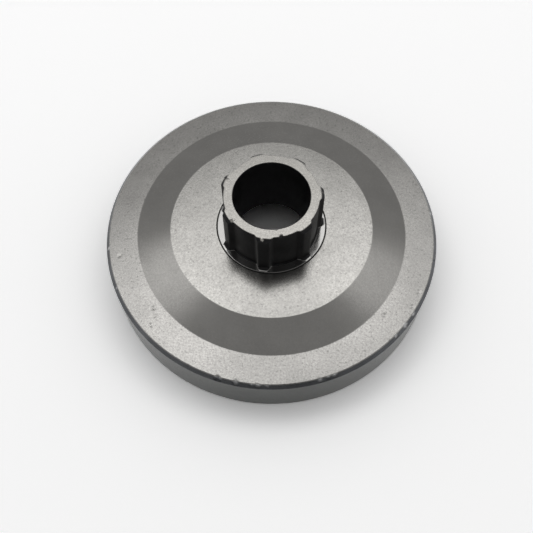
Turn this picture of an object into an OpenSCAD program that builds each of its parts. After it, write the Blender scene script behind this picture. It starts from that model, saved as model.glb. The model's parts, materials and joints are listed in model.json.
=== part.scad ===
// Clutch drum of a chainsaw: a steel cup that stands open side down, with a
// splined hub fixed in the middle of its plate for a loose rim sprocket.
// Millimetres. The hub points up along +Z, and the origin is the centre of the
// open rim, which the drum stands on.

/* [Drum cup] */
// Outer diameter of the side wall
drum_d = 73; // [67:0.5:90]
// Thickness of the side wall
wall_t = 2.3; // [1.6:0.1:4]
// Height of the flat outer ring above the open rim
cup_h = 11.4; // [8:0.2:24]
// Thickness of the plate that closes the cup
plate_t = 2.5; // [1.8:0.1:4]
// Chamfer round the outer corner of the cup
corner_chamfer = 0.8; // [0.2:0.1:2]
// Radius inside the cup where the wall meets the plate
inner_corner_r = 1.2; // [0.4:0.1:2.4]
// Chamfer on both edges of the open rim
rim_chamfer = 0.4; // [0.1:0.1:0.7]

/* [Raised middle] */
// Diameter where the cone rises from the flat outer ring
cone_d = 59.2; // [48:0.2:64]
// Diameter of the raised flat
plateau_d = 44.3; // [34:0.2:56]
// Height of the raised flat above the outer ring
plateau_h = 1.85; // [0.6:0.05:4]

/* [Hub] */
// Diameter of the hub's bore
bore_d = 16; // [10:0.5:18]
// Chamfer at both ends of the bore
bore_chamfer = 0.25; // [0.1:0.05:0.6]
// Height of the hub above the raised flat
hub_h = 11.9; // [6:0.1:20]
// Diameter of the collar that fills the hole in the plate
collar_d = 23.8; // [22.8:0.2:28]
// Radial clearance between the collar and the hole
collar_gap = 0.03; // [0.01:0.01:0.2]
// Chamfer on the two edges of that joint
joint_chamfer = 0.15; // [0.05:0.05:0.4]
// Diameter of the flange under the plate
flange_d = 31; // [28.5:0.5:42]
// Thickness of the flange
flange_t = 1.85; // [1:0.05:4]
// Chamfer round the flange
flange_chamfer = 0.3; // [0.1:0.1:0.8]

/* [Splines] */
// Number of teeth
tooth_count = 7; // [5:1:9]
// Diameter over the tooth tips
tip_d = 21.8; // [20.8:0.1:22.6]
// Diameter at the bottom of the grooves
root_d = 19.8; // [18.8:0.1:20.8]
// Width of a tooth at the bottom of the grooves
tooth_root_w = 3.4; // [2.4:0.1:4.6]
// Width of a tooth at its tip
tooth_tip_w = 2.4; // [1.6:0.1:3.2]
// Chamfer at the free end of the teeth
tip_chamfer = 0.35; // [0.1:0.05:0.8]
// Turn of the first tooth from +X
first_tooth_a = 3.4; // [0:0.2:51]

/* [Hidden] */

// Facets of a full circle
$fn = 180;
// Steps in a quarter of a round corner
arc_steps = 6;
// How far a cutting shape passes the surface that it cuts
cut_over = 1;
// How far the teeth are sunk into the collar
tooth_sink = 0.5;

drum_r = drum_d / 2;
inner_r = drum_r - wall_t;
cone_r = cone_d / 2;
plateau_r = plateau_d / 2;
bore_r = bore_d / 2;
collar_r = collar_d / 2;
hole_r = collar_r + collar_gap;
flange_r = flange_d / 2;
tip_r = tip_d / 2;
root_r = root_d / 2;

// Levels, from the open rim up
ceiling_z = cup_h - plate_t;
plateau_z = cup_h + plateau_h;
seat_z = plateau_z - plate_t;
hub_base_z = seat_z - flange_t;
hub_top_z = plateau_z + hub_h;

// A bent plate keeps its thickness when its folds lie this much further in below than above
cone_a = atan2(plateau_h, cone_r - plateau_r);
fold_shift = plate_t * tan(cone_a / 2);

// The teeth spread into a foot that ends at the collar's chamfer
foot_r = collar_r - joint_chamfer - tip_r;
// A tooth's flanks are straight, so it goes on narrowing past its tip, where only the foot is left
flank_slope = (tooth_root_w - tooth_tip_w) / 2 / (tip_r - root_r);
foot_w = max(tooth_root_w - 2 * flank_slope * (collar_r - root_r), tooth_tip_w / 4);

// A quarter of a circle about c, from angle a1 on by 90 degrees, turning the way of turn
function quarter(c, r, a1, turn) = [
    for (i = [0 : arc_steps])
        let (a = a1 + turn * 90 * i / arc_steps)
        c + r * [cos(a), sin(a)]
];

// Section of the cup: over the top, down the wall, round the rim and back inside
module cup_section() {
    inner_corner = [inner_r - inner_corner_r, ceiling_z - inner_corner_r];
    polygon(concat(
        [
            [hole_r, plateau_z - joint_chamfer],
            [hole_r + joint_chamfer, plateau_z],
            [plateau_r, plateau_z],
            [cone_r, cup_h],
            [drum_r - corner_chamfer, cup_h],
            [drum_r, cup_h - corner_chamfer],
            [drum_r, rim_chamfer],
            [drum_r - rim_chamfer, 0],
            [inner_r + rim_chamfer, 0],
            [inner_r, rim_chamfer]
        ],
        quarter(inner_corner, inner_corner_r, 0, 1),
        [
            [cone_r - fold_shift, ceiling_z],
            [plateau_r - fold_shift, seat_z],
            [hole_r, seat_z]
        ]
    ));
}

// Half section of the hub without its teeth and bore: flange, collar and sleeve
module hub_section() {
    polygon([
        [0, hub_base_z],
        [flange_r - flange_chamfer, hub_base_z],
        [flange_r, hub_base_z + flange_chamfer],
        [flange_r, seat_z],
        [collar_r, seat_z],
        [collar_r, plateau_z - joint_chamfer],
        [collar_r - joint_chamfer, plateau_z],
        [root_r, plateau_z],
        [root_r, hub_top_z],
        [0, hub_top_z]
    ]);
}

// Half section of the space that the teeth fill: a round foot, straight tips and a chamfered end
module tooth_section() {
    polygon(concat(
        [[0, seat_z], [collar_r - joint_chamfer, seat_z]],
        quarter([tip_r + foot_r, plateau_z + foot_r], foot_r, 270, -1),
        [
            [tip_r, hub_top_z - tip_chamfer],
            [tip_r - tip_chamfer, hub_top_z],
            [0, hub_top_z]
        ]
    ));
}

// Plan of one tooth along +X, from the middle of the sleeve's wall out to the collar
module tooth_plan() {
    wall_mid_r = (bore_r + root_r) / 2;
    polygon([
        [wall_mid_r, -tooth_root_w / 2],
        [root_r, -tooth_root_w / 2],
        [collar_r, -foot_w / 2],
        [collar_r, foot_w / 2],
        [root_r, tooth_root_w / 2],
        [wall_mid_r, tooth_root_w / 2]
    ]);
}

module teeth() {
    intersection() {
        rotate_extrude() tooth_section();
        translate([0, 0, plateau_z - tooth_sink])
            linear_extrude(hub_h + tooth_sink)
                for (i = [0 : tooth_count - 1])
                    rotate(first_tooth_a + i * 360 / tooth_count) tooth_plan();
    }
}

// The bore, with a chamfer at each end
module bore_cut() {
    translate([0, 0, hub_base_z - cut_over])
        cylinder(r = bore_r, h = hub_top_z - hub_base_z + 2 * cut_over);
    translate([0, 0, hub_top_z - bore_chamfer])
        cylinder(r1 = bore_r, r2 = bore_r + bore_chamfer, h = bore_chamfer);
    translate([0, 0, hub_base_z])
        cylinder(r1 = bore_r + bore_chamfer, r2 = bore_r, h = bore_chamfer);
}

module drum_cup() {
    color("darkgray") rotate_extrude() cup_section();
}

module spline_hub() {
    color("dimgray") difference() {
        union() {
            rotate_extrude() hub_section();
            teeth();
        }
        bore_cut();
    }
}

drum_cup();
spline_hub();
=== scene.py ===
import json
import math

import bmesh
import bpy
from mathutils import Matrix, Vector


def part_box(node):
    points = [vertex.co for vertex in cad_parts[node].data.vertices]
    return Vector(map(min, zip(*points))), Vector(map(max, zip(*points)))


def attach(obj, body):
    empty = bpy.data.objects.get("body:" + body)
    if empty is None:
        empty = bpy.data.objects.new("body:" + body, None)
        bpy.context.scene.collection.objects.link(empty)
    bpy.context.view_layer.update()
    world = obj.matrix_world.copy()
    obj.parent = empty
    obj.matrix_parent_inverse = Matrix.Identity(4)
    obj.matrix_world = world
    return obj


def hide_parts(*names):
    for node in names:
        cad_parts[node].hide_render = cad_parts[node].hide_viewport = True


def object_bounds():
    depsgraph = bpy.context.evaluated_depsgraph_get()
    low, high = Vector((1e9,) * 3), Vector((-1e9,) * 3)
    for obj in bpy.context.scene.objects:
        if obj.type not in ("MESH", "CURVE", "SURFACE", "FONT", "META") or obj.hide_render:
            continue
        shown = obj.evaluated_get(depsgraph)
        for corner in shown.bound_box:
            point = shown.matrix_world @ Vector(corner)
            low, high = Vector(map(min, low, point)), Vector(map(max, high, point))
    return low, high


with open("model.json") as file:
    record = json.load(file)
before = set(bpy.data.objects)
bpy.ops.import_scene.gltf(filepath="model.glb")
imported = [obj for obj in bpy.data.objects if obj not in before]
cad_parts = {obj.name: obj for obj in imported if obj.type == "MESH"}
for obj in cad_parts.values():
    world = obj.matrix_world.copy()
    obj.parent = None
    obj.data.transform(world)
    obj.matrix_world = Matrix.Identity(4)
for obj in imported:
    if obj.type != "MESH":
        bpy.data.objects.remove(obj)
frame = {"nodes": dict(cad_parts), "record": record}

mm = 0.001
cadLow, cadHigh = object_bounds()
mounts = {mount["name"]: mount for mount in frame["record"]["mounts"]}
print("frame loaded:", ", ".join(frame["nodes"]))


# Node trees: sums and products on a wire are written as plain expressions

class Wire:
    def __init__(self, tree, node, socket):
        self.tree, self.node, self.socket = tree, node, socket

    def other(self, name):      # another output of the same node
        return Wire(self.tree, self.node, self.node.outputs[name])

    def __add__(self, value):
        return self.tree.math("ADD", self, value)

    def __radd__(self, value):
        return self.tree.math("ADD", value, self)

    def __sub__(self, value):
        return self.tree.math("SUBTRACT", self, value)

    def __rsub__(self, value):
        return self.tree.math("SUBTRACT", value, self)

    def __mul__(self, value):
        return self.tree.math("MULTIPLY", self, value)

    def __rmul__(self, value):
        return self.tree.math("MULTIPLY", value, self)

    def __truediv__(self, value):
        return self.tree.math("DIVIDE", self, value)

    def __rtruediv__(self, value):
        return self.tree.math("DIVIDE", value, self)

    def __pow__(self, value):
        return self.tree.math("POWER", self, value)


class Tree:
    def __init__(self, nodeTree):
        self.nodeTree = nodeTree

    def add(self, kind, settings=None, inputs=None, out=0):
        node = self.nodeTree.nodes.new(kind)
        for name, value in (settings or {}).items():
            setattr(node, name, value)
        pairs = inputs.items() if isinstance(inputs, dict) else enumerate(inputs or [])
        for key, value in pairs:
            if isinstance(value, Wire):
                self.nodeTree.links.new(value.socket, node.inputs[key])
            else:
                node.inputs[key].default_value = value
        return Wire(self, node, node.outputs[out] if node.outputs else None)

    def math(self, operation, *values):
        return self.add("ShaderNodeMath", {"operation": operation}, values)

    def vector(self, operation, *values, out=0):
        return self.add("ShaderNodeVectorMath", {"operation": operation}, values, out)

    def scaled(self, vector, factor):
        return self.add("ShaderNodeVectorMath", {"operation": "SCALE"}, {0: vector, "Scale": factor})

    def xyz(self, x, y, z):
        return self.add("ShaderNodeCombineXYZ", None, [x, y, z])

    def split(self, vector):
        parts = self.add("ShaderNodeSeparateXYZ", None, [vector])
        return parts, parts.other("Y"), parts.other("Z")

    def most(self, a, b):
        return self.math("MAXIMUM", a, b)

    def rise(self, value, start, end, low=0.0, high=1.0):      # a smooth step from low to high
        return self.add("ShaderNodeMapRange", {"interpolation_type": "SMOOTHSTEP"},
                        [value, start, end, low, high])

    def ramp(self, value, start, end, low=0.0, high=1.0):      # a straight ramp from low to high
        return self.add("ShaderNodeMapRange", None, [value, start, end, low, high])

    def varied(self, noise, amount):      # a factor round 1 that follows a noise
        return self.ramp(noise, 0.3, 0.7, 1 - amount, 1 + amount)

    def aroundAxis(self):      # a place on the piece, its distance from the axis and its height
        place = self.add("ShaderNodeTexCoord", None, None, "Object")
        x, y, z = self.split(place)
        return place, self.math("SQRT", x * x + y * y), z

    def colour(self, factor, first, second):
        return self.add("ShaderNodeMix", {"data_type": "RGBA"}, {0: factor, 6: first, 7: second}, 2)

    def tint(self, colour, factor):      # a colour times a number
        return self.scaled(colour, factor)

    def noise(self, place, size, detail=2.0, roughness=0.5):
        return self.add("ShaderNodeTexNoise", None,
                        {"Vector": place, "Scale": 1 / size, "Detail": detail, "Roughness": roughness})


# Turned pieces: a section of rounded corners, which the tree below takes round the axis

def corner(r, z, edge=0.0, follow=0.0, wear=0.0, step=1.0 * mm):
    return {"at": Vector((r, z)), "edge": edge, "follow": follow, "wear": wear, "step": step}


def blend(a, b, share):
    return a + (b - a) * share


def sectionStations(corners, hold=0.05 * mm, fineEdge=0.1 * mm):
    # every corner becomes an arc of its own edge radius, and each straight between two arcs is divided
    arcs = []
    for i, here in enumerate(corners):
        arcSteps = 2 if here["edge"] < fineEdge else 4
        before, after = corners[i - 1], corners[(i + 1) % len(corners)]
        inward = (here["at"] - before["at"]).normalized()
        outward = (after["at"] - here["at"]).normalized()
        turn = inward.angle_signed(outward)
        reach = here["edge"] * math.tan(abs(turn) / 2)
        if reach < 1e-7:
            arcs.append([(here["at"], here["follow"], here["wear"])])
            continue
        start = here["at"] - inward * reach
        side = Vector((-inward.y, inward.x)) * (-1 if turn > 0 else 1)
        centre = start + side * here["edge"]
        shareIn = reach / (here["at"] - before["at"]).length
        shareOut = reach / (after["at"] - here["at"]).length
        arc = []
        for k in range(arcSteps + 1):
            spoke = (start - centre)
            spoke.rotate(Matrix.Rotation(-turn * k / arcSteps, 2))
            t = 2 * k / arcSteps - 1
            follow = (blend(here["follow"], before["follow"], -t * shareIn) if t < 0
                      else blend(here["follow"], after["follow"], t * shareOut))
            arc.append((centre + spoke, follow, here["wear"]))
        arcs.append(arc)
    stations = []
    for i, arc in enumerate(arcs):
        stations += arc
        start, end = arc[-1], arcs[(i + 1) % len(arcs)][0]
        length = (end[0] - start[0]).length
        count = max(1, round(length / corners[i]["step"]))
        shares = [k / count for k in range(1, count)]
        if length > 4 * hold:
            shares = [hold / length] + [s for s in shares if 2 * hold < s * length < length - 2 * hold]
            shares.append(1 - hold / length)
        for share in shares:
            stations.append((start[0].lerp(end[0], share), blend(start[1], end[1], share), 0.0))
    return stations


def pointCloud(name, points, **values):
    mesh = bpy.data.meshes.new(name)
    mesh.from_pydata(points, [], [])
    for key, numbers in values.items():
        mesh.attributes.new(key, "FLOAT", "POINT").data.foreach_set("value", numbers)
    holder = bpy.data.objects.new(name, mesh)
    bpy.context.scene.collection.objects.link(holder)
    return holder


def treeInput(tree, name, kind, value=None):
    socket = tree.nodeTree.interface.new_socket(name, in_out="INPUT", socket_type=kind)
    if value is not None:
        socket.default_value = value
    return socket.identifier


def toothContour(tree, angle, z, need):
    # outline of the splines at one angle and level: the tooth's plan cut by its section, over the sleeve
    pitch = tree.math("DIVIDE", 2 * math.pi, need("Teeth"))
    local = tree.math("WRAP", angle - need("First tooth"), pitch * 0.5, pitch * -0.5)
    across = tree.math("ABSOLUTE", local)
    slope = (need("Root width") - need("Tip width")) * 0.5 / (need("Tip radius") - need("Root radius"))
    flank = need("Root width") * 0.5 + slope * need("Root radius")
    plan = flank / (tree.math("TANGENT", across) + slope) / tree.math("COSINE", across)
    top = need("Tip radius") - tree.most(0.0, z - (need("Top") - need("Tip chamfer")))
    dip = tree.most(0.0, need("Foot") - (z - need("Base")))
    flare = need("Foot") - tree.math("SQRT", tree.most(0.0, need("Foot") ** 2 - dip ** 2))
    tooth = tree.math("SMOOTH_MIN", plan, top + flare, need("Tooth edge"))
    return tree.math("SMOOTH_MAX", tooth, need("Root radius"), need("Tooth edge"))


def turnedTree(name, material, toothed):
    nodeTree = bpy.data.node_groups.new(name, "GeometryNodeTree")
    tree = Tree(nodeTree)
    inputs = {"Geometry": treeInput(tree, "Geometry", "NodeSocketGeometry")}
    nodeTree.interface.new_socket("Geometry", in_out="OUTPUT", socket_type="NodeSocketGeometry")
    numbers = ["Wear depth", "Wear size", "Wear share", "Wear shine"]
    if toothed:
        numbers += ["Teeth", "First tooth", "Root radius", "Tip radius", "Root width", "Tip width",
                    "Tip chamfer", "Foot", "Tooth edge", "Base", "Top"]
    inputs["Around"] = treeInput(tree, "Around", "NodeSocketInt", 720)
    inputs["Marks"] = treeInput(tree, "Marks", "NodeSocketObject")
    inputs["Seed"] = treeInput(tree, "Seed", "NodeSocketFloat", 0.0)
    inputs["Box low"] = treeInput(tree, "Box low", "NodeSocketVector")
    inputs["Box high"] = treeInput(tree, "Box high", "NodeSocketVector")
    for number in numbers:
        inputs[number] = treeInput(tree, number, "NodeSocketFloat", 0.0)
    group = tree.add("NodeGroupInput")

    def need(key):
        return group.other(key)

    # a flat grid, one row for each station of the section and one column for each step round the axis
    section = need("Geometry")
    rows = tree.add("GeometryNodeAttributeDomainSize", {"component": "MESH"}, [section], "Point Count")
    grid = tree.add("GeometryNodeMeshGrid", None, {
        "Size X": rows, "Size Y": need("Around"), "Vertices X": rows + 1, "Vertices Y": need("Around") + 1})
    gridX, gridY, _ = tree.split(tree.add("GeometryNodeInputPosition"))
    row = tree.math("MODULO", tree.math("ROUND", gridX + rows * 0.5), rows)
    angle = (gridY / need("Around") + 0.5) * (2 * math.pi)

    def atRow(dataType, value):
        return tree.add("GeometryNodeSampleIndex", {"data_type": dataType}, [section, value, row])

    def named(key):
        return tree.add("GeometryNodeInputNamedAttribute", {"data_type": "FLOAT"}, {"Name": key})

    r, _, z = tree.split(atRow("FLOAT_VECTOR", tree.add("GeometryNodeInputPosition")))
    if toothed:
        r = r + atRow("FLOAT", named("follow")) * (toothContour(tree, angle, z, need) - need("Root radius"))
    place = tree.xyz(r * tree.math("COSINE", angle), r * tree.math("SINE", angle), z)
    wearMap = tree.add("GeometryNodeStoreNamedAttribute", {"data_type": "FLOAT", "domain": "POINT"},
                       {"Geometry": grid, "Name": "wear", "Value": atRow("FLOAT", named("wear"))})
    turned = tree.add("GeometryNodeSetPosition", None, {"Geometry": wearMap, "Position": place})
    joined = tree.add("GeometryNodeMergeByDistance", None, {"Geometry": turned, "Distance": 0.002 * mm})

    # knocks: the nearest mark pushes the surface in, or out where its depth is below zero
    marks = tree.add("GeometryNodeObjectInfo", {"transform_space": "ORIGINAL"}, {"Object": need("Marks")},
                     "Geometry")
    position = tree.add("GeometryNodeInputPosition")
    nearest = tree.add("GeometryNodeSampleNearest", {"domain": "POINT"},
                       {"Geometry": marks, "Sample Position": position})

    def atMark(dataType, value):
        return tree.add("GeometryNodeSampleIndex", {"data_type": dataType}, [marks, value, nearest])

    away = tree.vector("DISTANCE", position, atMark("FLOAT_VECTOR", position), out="Value")
    ragged = tree.noise(position, 0.5 * mm) - 0.5
    hit = tree.rise(away / atMark("FLOAT", named("size")) + ragged * 1.5, 1.0, 0.35)
    knock = hit * atMark("FLOAT", named("depth"))

    # small nicks along the worn edges, wherever a noise runs high
    seeded = tree.vector("ADD", position, tree.xyz(need("Seed"), 0.0, 0.0))
    chance = tree.add("ShaderNodeTexNoise", None,
                      {"Vector": seeded, "Scale": 1 / need("Wear size"), "Detail": 2.0})
    nick = tree.rise(chance, 1.0 - need("Wear share"), 1.1 - need("Wear share")) * named("wear")
    push = knock + nick * need("Wear depth")
    normal = tree.add("GeometryNodeInputNormal")
    bare = tree.most(hit * atMark("FLOAT", named("shine")), nick * need("Wear shine"))
    kept = tree.add("GeometryNodeStoreNamedAttribute", {"data_type": "FLOAT", "domain": "POINT"},
                    {"Geometry": joined, "Name": "bare", "Value": bare})
    moved = tree.vector("ADD", position, tree.scaled(normal, push * -1.0))
    boxed = tree.vector("MINIMUM", tree.vector("MAXIMUM", moved, need("Box low")), need("Box high"))
    worn = tree.add("GeometryNodeSetPosition", None, {"Geometry": kept, "Position": boxed})
    smooth = tree.add("GeometryNodeSetShadeSmooth", None, {"Geometry": worn})
    real = tree.add("GeometryNodeRealizeInstances", None, {"Geometry": smooth})
    done = tree.add("GeometryNodeSetMaterial", None, {"Geometry": real, "Material": material})
    tree.add("NodeGroupOutput", None, {"Geometry": done})
    return nodeTree, inputs


def turnedPiece(name, corners, marks, values, material, toothed=False):
    stations = sectionStations(corners)
    section = pointCloud(name + "Section", [(at.x, 0, at.y) for at, _, _ in stations],
                         follow=[follow for _, follow, _ in stations],
                         wear=[wear for _, _, wear in stations])
    knocks = pointCloud(name + "Marks", [mark["at"] for mark in marks],
                        size=[mark["size"] for mark in marks],
                        depth=[mark["depth"] for mark in marks],
                        shine=[mark["shine"] for mark in marks])
    nodeTree, inputs = turnedTree(name + "Tree", material, toothed)
    modifier = section.modifiers.new("turned", "NODES")
    modifier.node_group = nodeTree
    modifier[inputs["Marks"]] = knocks
    modifier[inputs["Box low"]] = cadLow      # no burr or knock leaves the frame's box
    modifier[inputs["Box high"]] = cadHigh
    for key, value in values.items():
        modifier[inputs[key]] = value
    evaluated = section.evaluated_get(bpy.context.evaluated_depsgraph_get())
    mesh = bpy.data.meshes.new_from_object(evaluated)
    section.modifiers.remove(modifier)
    bpy.data.objects.remove(section)
    bpy.data.objects.remove(knocks)
    shape = bmesh.new()
    shape.from_mesh(mesh)
    bmesh.ops.recalc_face_normals(shape, faces=shape.faces)
    shape.to_mesh(mesh)
    shape.free()
    piece = bpy.data.objects.new(name, mesh)
    bpy.context.scene.collection.objects.link(piece)
    print(name, "has", len(stations), "stations and", 2 * len(mesh.polygons), "triangles")
    return piece


def polar(radius, degrees, z):
    turn = math.radians(degrees)
    return (radius * math.cos(turn), radius * math.sin(turn), z)


def steelMaterial(name):
    material = bpy.data.materials.new(name)
    material.use_nodes = True
    material.node_tree.nodes.clear()
    return material, Tree(material.node_tree)


def finishSteel(tree, colour, roughness, bumpHeight, bumpDistance):
    normal = tree.add("ShaderNodeBump", None, {
        "Strength": 1.0, "Distance": bumpDistance, "Height": bumpHeight})
    shader = tree.add("ShaderNodeBsdfPrincipled", None, {
        "Base Color": colour, "Roughness": roughness, "Metallic": 1.0, "Normal": normal})
    tree.add("ShaderNodeOutputMaterial", None, {"Surface": shader})


# Drum cup

cupLow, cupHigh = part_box("drum_cup")
drumCup = {
    "radius": cupHigh.x,
    "topZ": cupHigh.z,                # level of the raised flat
    "plateauStep": 1.85 * mm,         # the outer ring lies this much lower
    "plateauRadius": 22.15 * mm,
    "coneRadius": 29.6 * mm,
    "plate": 2.5 * mm,
    "cornerChamfer": 0.8 * mm,
    "cornerEdge": 0.14 * mm,          # how far the chamfer's two edges are worn round
    "foldEdge": 0.9 * mm,
    "innerRadius": mounts["friction_wall"]["dims"]["r_mm"] * mm,
    "innerCorner": 1.2 * mm,
    "rimChamfer": 0.4 * mm,
    "holeRadius": 11.93 * mm,
    "jointChamfer": 0.15 * mm,
    "flatSteel": (0.31, 0.303, 0.29, 1),
    "plateauSteel": (0.33, 0.323, 0.307, 1),
    "coneSteel": (0.252, 0.246, 0.235, 1),
    # painted shade: the wall is the flats' steel, painted far darker to stand in for the shadowed floor it
    # mirrors in front
    "wallShadeSteel": (0.055, 0.058, 0.054, 1),
    "chamferSteel": (0.10, 0.103, 0.108, 1),
    "insideSteel": (0.27, 0.265, 0.25, 1),
    "bareSteel": (0.5, 0.5, 0.5, 1),
    "softEdge": 0.08 * mm,            # over which one finish runs into the next
    "speckSize": 0.42 * mm,           # fine speckle of the flats
    "spotSize": 0.5 * mm,             # scattered darker spots on them
    "spotDepth": 0.25,                # how much darker the spots are
    "cloudSize": 5.5 * mm,
    "grainSize": 0.16 * mm,
    "roughness": (0.24, 0.18),        # in the low and the high places of the speckle
    "wallRoughness": 0.03,            # added off the top
    "bumpDepth": 0.006 * mm,
}


def cupCorners(cup):
    ringZ = cup["topZ"] - cup["plateauStep"]
    ceilingZ = ringZ - cup["plate"]
    seatZ = cup["topZ"] - cup["plate"]
    coneAngle = math.atan2(cup["plateauStep"], cup["coneRadius"] - cup["plateauRadius"])
    shift = cup["plate"] * math.tan(coneAngle / 2)      # the folds lie this much further in below
    outer, inner, hole = cup["radius"], cup["innerRadius"], cup["holeRadius"]
    chamfer, rim, joint = cup["cornerChamfer"], cup["rimChamfer"], cup["jointChamfer"]
    edge, fine = cup["cornerEdge"], 0.05 * mm
    return [
        corner(hole, cup["topZ"] - joint, fine),
        corner(hole + joint, cup["topZ"], fine, wear=0.2, step=0.8 * mm),
        corner(cup["plateauRadius"], cup["topZ"], cup["foldEdge"], step=0.7 * mm),
        corner(cup["coneRadius"], ringZ, cup["foldEdge"], step=0.3 * mm),
        corner(outer - chamfer, ringZ, edge, wear=1, step=0.2 * mm),
        corner(outer, ringZ - chamfer, edge, wear=0.7, step=2.5 * mm),
        corner(outer, cupLow.z + rim, fine, wear=0.5, step=0.2 * mm),
        corner(outer - rim, cupLow.z, fine, wear=0.5, step=0.5 * mm),
        corner(inner + rim, cupLow.z, fine, step=0.2 * mm),
        corner(inner, cupLow.z + rim, fine, step=3 * mm),
        corner(inner, ceilingZ, cup["innerCorner"], step=4 * mm),
        corner(cup["coneRadius"] - shift, ceilingZ, cup["foldEdge"], step=4 * mm),
        corner(cup["plateauRadius"] - shift, seatZ, cup["foldEdge"], step=4 * mm),
        corner(hole, seatZ, fine, step=0.8 * mm),
    ]


def cupMarks(cup):
    # knocks on the rim as degrees round it, size and depth, and how bare and bright the steel is in them
    ringZ = cup["topZ"] - cup["plateauStep"]
    run = cup["coneRadius"] - cup["plateauRadius"]
    edgeRadius = cup["radius"] - cup["cornerChamfer"] * 0.6
    knocks = [
        (187, 0.50, 0.07, 0.9), (203, 0.35, 0.04, 0.6), (252, 0.60, 0.20, 0.0), (258, 0.65, 0.06, 0.5),
        (263, 0.35, 0.05, 0.4), (265, 0.50, 0.07, 0.6), (268, 0.40, 0.04, 0.5), (285, 0.60, 0.05, 0.5),
        (288, 0.35, 0.07, 0.4), (290, 0.45, 0.04, 0.6), (315, 0.55, 0.08, 0.6), (320, 0.75, 0.06, 0.7),
        (325, 0.50, 0.08, 0.8), (347, 0.40, 0.16, 0.0), (6, 0.50, 0.07, 0.8),
    ]
    # pits and one scratch in the flats and the cone as degrees, radius, size and depth
    pits = [
        (191, 33.8, 0.40, 0.09), (217, 31.4, 0.45, 0.10), (220, 32.1, 0.40, 0.08), (222, 34.0, 0.45, 0.09),
        (318, 31.5, 0.40, 0.08), (327, 34.8, 0.45, 0.09), (333, 34.7, 0.40, 0.09), (135.5, 20.8, 0.35, 0.07),
        (211, 24.6, 0.35, 0.07), (209.5, 24.1, 0.35, 0.07), (208, 23.6, 0.30, 0.06),
    ]
    found = []
    for degrees, size, depth, shine in knocks:
        found.append({"at": polar(edgeRadius, degrees, ringZ - 0.3 * cup["cornerChamfer"]),
                      "size": size * mm, "depth": depth * mm, "shine": shine})
    for degrees, radius, size, depth in pits:
        level = ringZ + min(1, max(0, (cup["coneRadius"] - radius * mm) / run)) * cup["plateauStep"]
        found.append({"at": polar(radius * mm, degrees, level), "size": size * mm, "depth": depth * mm,
                      "shine": 0.0})
    return found


def cupMaterial(cup):
    material, tree = steelMaterial("cupSteel")
    place, r, z = tree.aroundAxis()
    plateau, cone, chamfer = cup["plateauRadius"], cup["coneRadius"], cup["cornerChamfer"]
    ringZ = cup["topZ"] - cup["plateauStep"]
    soft = cup["softEdge"]
    onTop = tree.rise(z, ringZ - soft * 2, ringZ - soft)
    onPlateau = tree.rise(r, plateau + soft, plateau - soft)
    onCone = tree.rise(r, plateau - soft, plateau + soft) * tree.rise(r, cone + soft, cone - soft)
    edgeRadius = cup["radius"] - chamfer
    outside = tree.rise(r, edgeRadius - 0.1 * mm, edgeRadius - 0.02 * mm)
    onChamfer = outside * tree.rise(z, ringZ - chamfer - soft, ringZ - chamfer + soft)

    speck = tree.noise(place, cup["speckSize"], 3.0, 0.6)
    cloud = tree.noise(place, cup["cloudSize"], 3.0, 0.55)
    grain = tree.noise(place, cup["grainSize"], 2.0, 0.6)
    spot = tree.rise(tree.noise(place, cup["spotSize"], 2.0, 0.5), 0.60, 0.70)
    flat = tree.tint(tree.colour(onPlateau, cup["flatSteel"], cup["plateauSteel"]),
                     tree.varied(speck, 0.12) * tree.varied(cloud, 0.07) * (1.0 - spot * cup["spotDepth"]))
    coneTint = tree.tint(cup["coneSteel"][:3], tree.varied(speck, 0.05) * tree.varied(cloud, 0.05))
    # painted shade: the wall's dark colour stands in for the shadow it mirrors, not for a darker finish
    wallShadeTint = tree.tint(cup["wallShadeSteel"][:3], tree.varied(cloud, 0.15) * tree.varied(grain, 0.08))
    chamferTint = tree.tint(cup["chamferSteel"][:3], tree.varied(cloud, 0.2))
    inside = tree.tint(cup["insideSteel"][:3], tree.varied(cloud, 0.1))
    side = tree.colour(onChamfer, wallShadeTint, chamferTint)
    colour = tree.colour(onTop, tree.colour(outside, inside, side), tree.colour(onCone, flat, coneTint))
    bare = tree.add("ShaderNodeAttribute", {"attribute_name": "bare"}, None, "Fac")
    colour = tree.colour(bare, colour, cup["bareSteel"])
    roughness = tree.ramp(speck, 0.3, 0.7, *cup["roughness"]) + (1.0 - onTop) * cup["wallRoughness"]
    height = speck * (1.0 - onCone * 0.7) + grain * 0.4      # the cone is turned smoother than the flats
    finishSteel(tree, colour, roughness, height, cup["bumpDepth"])
    return material


cup = turnedPiece("drumCup", cupCorners(drumCup), cupMarks(drumCup),
                  {"Around": 690, "Seed": 0.0, "Wear depth": 0.05 * mm, "Wear size": 2.3 * mm,
                   "Wear share": 0.33, "Wear shine": 0.35}, cupMaterial(drumCup))
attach(cup, "root")
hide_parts("drum_cup")


# Splined hub

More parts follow.
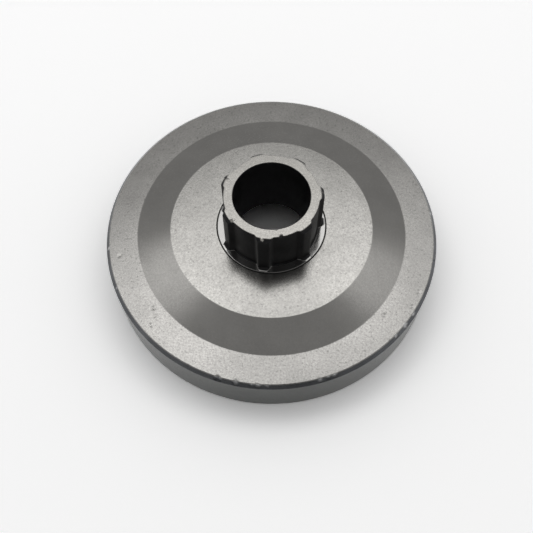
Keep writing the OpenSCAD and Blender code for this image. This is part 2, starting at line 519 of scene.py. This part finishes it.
hubLow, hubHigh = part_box("spline_hub")
splineHub = {
    "boreRadius": mounts["bore"]["dims"]["r_mm"] * mm,
    "boreChamfer": 0.15 * mm,
    "topZ": hubHigh.z,
    "lowZ": hubLow.z,
    "flangeRadius": hubHigh.x,
    "flangeChamfer": 0.3 * mm,
    "collarRadius": 11.9 * mm,
    "rootRadius": 9.9 * mm,
    "tipRadius": 10.9 * mm,
    "rootWidth": 3.4 * mm,
    "tipWidth": 2.4 * mm,
    "tipChamfer": 0.65 * mm,
    "teeth": 7,
    "firstTooth": 3.4,                # degrees from +X
    "foot": 0.83 * mm,
    "toothEdge": 0.6 * mm,
    "endEdge": 0.08 * mm,
    "sideSteel": (0.028, 0.028, 0.029, 1),
    "endSteel": (0.35, 0.34, 0.32, 1),
    "collarSteel": (0.36, 0.355, 0.345, 1),
    "boreSteel": (0.03, 0.03, 0.032, 1),
    "bareSteel": (0.75, 0.72, 0.66, 1),
    "softEdge": 0.04 * mm,
    "speckSize": 0.35 * mm,
    "cloudSize": 4.0 * mm,
    "roughness": (0.30, 0.22),        # in the low and the high places of the speckle
    "sideRoughness": 0.26,            # added on the dark sides and in the bore
    "collarRoughness": 0.12,          # taken away on the collar, which mirrors the dark sleeve
    "bumpDepth": 0.005 * mm,
}


def hubCorners(hub, cup):
    bore, root = hub["boreRadius"], hub["rootRadius"]
    collar, flange = hub["collarRadius"], hub["flangeRadius"]
    top, base, low = hub["topZ"], cup["topZ"], hub["lowZ"]
    seat = base - cup["plate"]
    joint, fine = cup["jointChamfer"], 0.05 * mm
    return [
        corner(bore, top - hub["boreChamfer"], fine, wear=0.4),
        corner(bore + hub["boreChamfer"], top, fine, wear=0.4, step=0.3 * mm),
        corner(root, top, hub["endEdge"], follow=1, wear=1, step=0.1 * mm),
        corner(root, top - hub["tipChamfer"] - 0.2 * mm, follow=1, step=0.55 * mm),
        corner(root, base + hub["foot"] + 0.05 * mm, follow=1, step=0.09 * mm),
        corner(root, base, 0.12 * mm, follow=1, step=0.3 * mm),
        corner(collar - joint, base, fine, step=0.3 * mm),
        corner(collar, base - joint, fine, step=1.2 * mm),
        corner(collar, seat, step=1.0 * mm),
        corner(flange, seat, fine, step=0.8 * mm),
        corner(flange, low + hub["flangeChamfer"], fine, step=0.3 * mm),
        corner(flange - hub["flangeChamfer"], low, fine, step=1.5 * mm),
        corner(bore + hub["boreChamfer"], low, fine, step=0.3 * mm),
        corner(bore, low + hub["boreChamfer"], fine, step=1.0 * mm),
    ]


def hubMarks(hub):
    # knocks and burrs of the end face's edge as degrees, radius, size, depth and brightness
    knocks = [
        (157, 10.9, 0.9, 0.25, 0.2), (3, 10.9, 0.5, -0.12, 0.6), (216, 10.0, 0.5, 0.18, 0.4),
        (259, 10.6, 0.5, -0.08, 0.8), (281, 9.9, 0.5, 0.20, 0.0), (323, 10.3, 0.5, 0.15, 0.6),
    ]
    return [{"at": polar(radius * mm, degrees, hub["topZ"]), "size": size * mm, "depth": depth * mm,
             "shine": shine} for degrees, radius, size, depth, shine in knocks]


def hubMaterial(hub, cup):
    material, tree = steelMaterial("hubSteel")
    place, r, z = tree.aroundAxis()
    soft, base, bore = hub["softEdge"], cup["topZ"], hub["boreRadius"]
    onEnd = tree.rise(z, hub["topZ"] - 2 * soft, hub["topZ"] - soft)
    atBase = tree.rise(z, base + 2 * soft, base + soft) * tree.rise(z, base - 2 * soft, base - soft)
    onCollar = atBase * tree.rise(r, hub["rootRadius"] + 0.2 * mm, hub["rootRadius"] + 0.5 * mm)
    inBore = tree.rise(r, bore + 0.3 * mm, bore + 0.2 * mm) * (1.0 - onEnd)

    speck = tree.noise(place, hub["speckSize"], 3.0, 0.6)
    cloud = tree.noise(place, hub["cloudSize"], 3.0, 0.55)
    endTint = tree.tint(hub["endSteel"][:3], tree.varied(speck, 0.15) * tree.varied(cloud, 0.07))
    sideTint = tree.tint(hub["sideSteel"][:3], tree.varied(cloud, 0.3))
    boreTint = tree.tint(hub["boreSteel"][:3], tree.varied(cloud, 0.2))
    colour = tree.colour(onEnd, tree.colour(inBore, sideTint, boreTint), endTint)
    colour = tree.colour(onCollar, colour, hub["collarSteel"])
    bare = tree.add("ShaderNodeAttribute", {"attribute_name": "bare"}, None, "Fac")
    colour = tree.colour(bare, colour, hub["bareSteel"])
    roughness = tree.ramp(speck, 0.3, 0.7, *hub["roughness"]) - onCollar * hub["collarRoughness"] \
        + (1.0 - tree.most(onEnd, onCollar)) * hub["sideRoughness"]
    finishSteel(tree, colour, roughness, speck, hub["bumpDepth"])
    return material


hub = turnedPiece("splineHub", hubCorners(splineHub, drumCup), hubMarks(splineHub), {
    "Around": 700, "Seed": 0.3, "Wear depth": 0.10 * mm, "Wear size": 1.2 * mm, "Wear share": 0.34,
    "Wear shine": 0.4,
    "Teeth": float(splineHub["teeth"]), "First tooth": math.radians(splineHub["firstTooth"]),
    "Root radius": splineHub["rootRadius"], "Tip radius": splineHub["tipRadius"],
    "Root width": splineHub["rootWidth"], "Tip width": splineHub["tipWidth"],
    "Tip chamfer": splineHub["tipChamfer"], "Foot": splineHub["foot"], "Tooth edge": splineHub["toothEdge"],
    "Base": drumCup["topZ"], "Top": splineHub["topZ"]}, hubMaterial(splineHub, drumCup), toothed=True)
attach(hub, "root")
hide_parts("spline_hub")


# Floor, light and camera

studio = {
    "floorSize": 3.0,
    "floorColour": (0.8, 0.8, 0.8, 1),
    "floorSeen": 1.88,                # how much paler the floor is to the camera and in reflections
    "skyColour": (1, 1, 1, 1),
    "skyLevel": 0.515,
    "frontLevel": 0.17,
    "frontStart": -0.22,              # the sky fades from here towards the front, as parts of a unit direction
    "frontEnd": -0.62,
    "horizonLevel": 0.95,
    "horizonFull": 0.10,              # sine of the height up to which the horizon is pale
    "horizonTop": 0.32,
}


def floorPiece():
    mesh = bpy.data.meshes.new("floor")
    half = studio["floorSize"] / 2
    corners = [(-half, -half, 0), (half, -half, 0), (half, half, 0), (-half, half, 0)]
    mesh.from_pydata(corners, [], [(0, 1, 2, 3)])
    floor = bpy.data.objects.new("floor", mesh)
    bpy.context.scene.collection.objects.link(floor)
    material = bpy.data.materials.new("paleFloor")
    material.use_nodes = True
    material.node_tree.nodes.clear()
    tree = Tree(material.node_tree)
    direct = tree.add("ShaderNodeLightPath", None, None, "Is Camera Ray")
    mirrored = tree.most(direct.other("Is Glossy Ray"), direct.other("Is Transmission Ray"))
    paler = tree.ramp(tree.most(direct, mirrored), 0.0, 1.0, 1.0, studio["floorSeen"])
    colour = tree.tint(studio["floorColour"][:3], paler)
    shader = tree.add("ShaderNodeBsdfDiffuse", None, {"Color": colour})
    tree.add("ShaderNodeOutputMaterial", None, {"Surface": shader})
    mesh.materials.append(material)
    return floor


floor = floorPiece()

# soft round lamps: azimuth 0 is behind the drum and 90 on its right, spread is the half angle that a
# lamp fills, and level is the brightness that a mirror would show
softLamps = {
    "overhead": {"azimuth": 0.6, "elevation": 67, "spread": 12.4, "level": 1.24},
    "overheadLeft": {"azimuth": -38, "elevation": 67, "spread": 10.7, "level": 0.82},
    "overheadRight": {"azimuth": 34.5, "elevation": 62, "spread": 10.2, "level": 0.63},
    "left": {"azimuth": -61.5, "elevation": 58.5, "spread": 12, "level": 1.15},
    "right": {"azimuth": 63.3, "elevation": 58.5, "spread": 11.7, "level": 0.88},
}


def softLamp(name, azimuth, elevation, spread, level, distance=0.7):
    lamp = bpy.data.lights.new(name, "AREA")
    lamp.shape = "DISK"
    radius = distance * math.tan(math.radians(spread))
    lamp.size = 2 * radius
    lamp.energy = level * math.pi * math.pi * radius ** 2
    a, e = math.radians(azimuth), math.radians(elevation)
    towards = Vector((math.sin(a) * math.cos(e), math.cos(a) * math.cos(e), math.sin(e)))
    holder = bpy.data.objects.new(name, lamp)
    holder.location = towards * distance
    holder.rotation_euler = towards.to_track_quat("Z", "Y").to_euler()
    bpy.context.scene.collection.objects.link(holder)


for name, values in softLamps.items():
    softLamp(name, **values)


def studioWorld():
    # even soft light from above, darker in front where the camera stands, and pale all round the horizon
    world = bpy.data.worlds.new("studio")
    world.use_nodes = True
    world.node_tree.nodes.clear()
    tree = Tree(world.node_tree)
    _, y, z = tree.split(tree.add("ShaderNodeTexCoord", None, None, "Generated"))
    above = tree.rise(y, studio["frontEnd"], studio["frontStart"], studio["frontLevel"], studio["skyLevel"])
    horizon = tree.rise(z, studio["horizonTop"], studio["horizonFull"])
    level = above + horizon * (studio["horizonLevel"] - above)
    background = tree.add("ShaderNodeBackground", None, {"Color": studio["skyColour"], "Strength": level})
    tree.add("ShaderNodeOutputWorld", None, {"Surface": background})
    bpy.context.scene.world = world


studioWorld()

view = {
    "imageSize": 533,                 # pixels
    "focalLength": 701.4,             # pixels
    "sensor": 36.0,
    "lookAt": Vector((-1.157, -9.382, 11.4)) * mm,
    "distance": 151.26 * mm,
    "elevation": 63.196,
    "roll": -0.504,
}


def cameraObject():
    camera = bpy.data.cameras.new("camera")
    camera.sensor_width = view["sensor"]
    camera.lens = view["sensor"] * view["focalLength"] / view["imageSize"]
    camera.clip_start, camera.clip_end = 0.01, 10
    holder = bpy.data.objects.new("camera", camera)
    e = math.radians(view["elevation"])
    back = Vector((0, -math.cos(e), math.sin(e)))
    forward = back * -1
    right = Vector((1, 0, 0))
    turn = Matrix.Rotation(math.radians(-view["roll"]), 3, forward)
    right = turn @ right
    up = right.cross(forward)
    rotation = Matrix((right, up, back)).transposed()
    holder.matrix_world = Matrix.Translation(view["lookAt"] + back * view["distance"]) @ rotation.to_4x4()
    bpy.context.scene.collection.objects.link(holder)
    bpy.context.scene.camera = holder


cameraObject()
bpy.context.scene.view_settings.view_transform = "Standard"
print("camera, floor and lights placed")
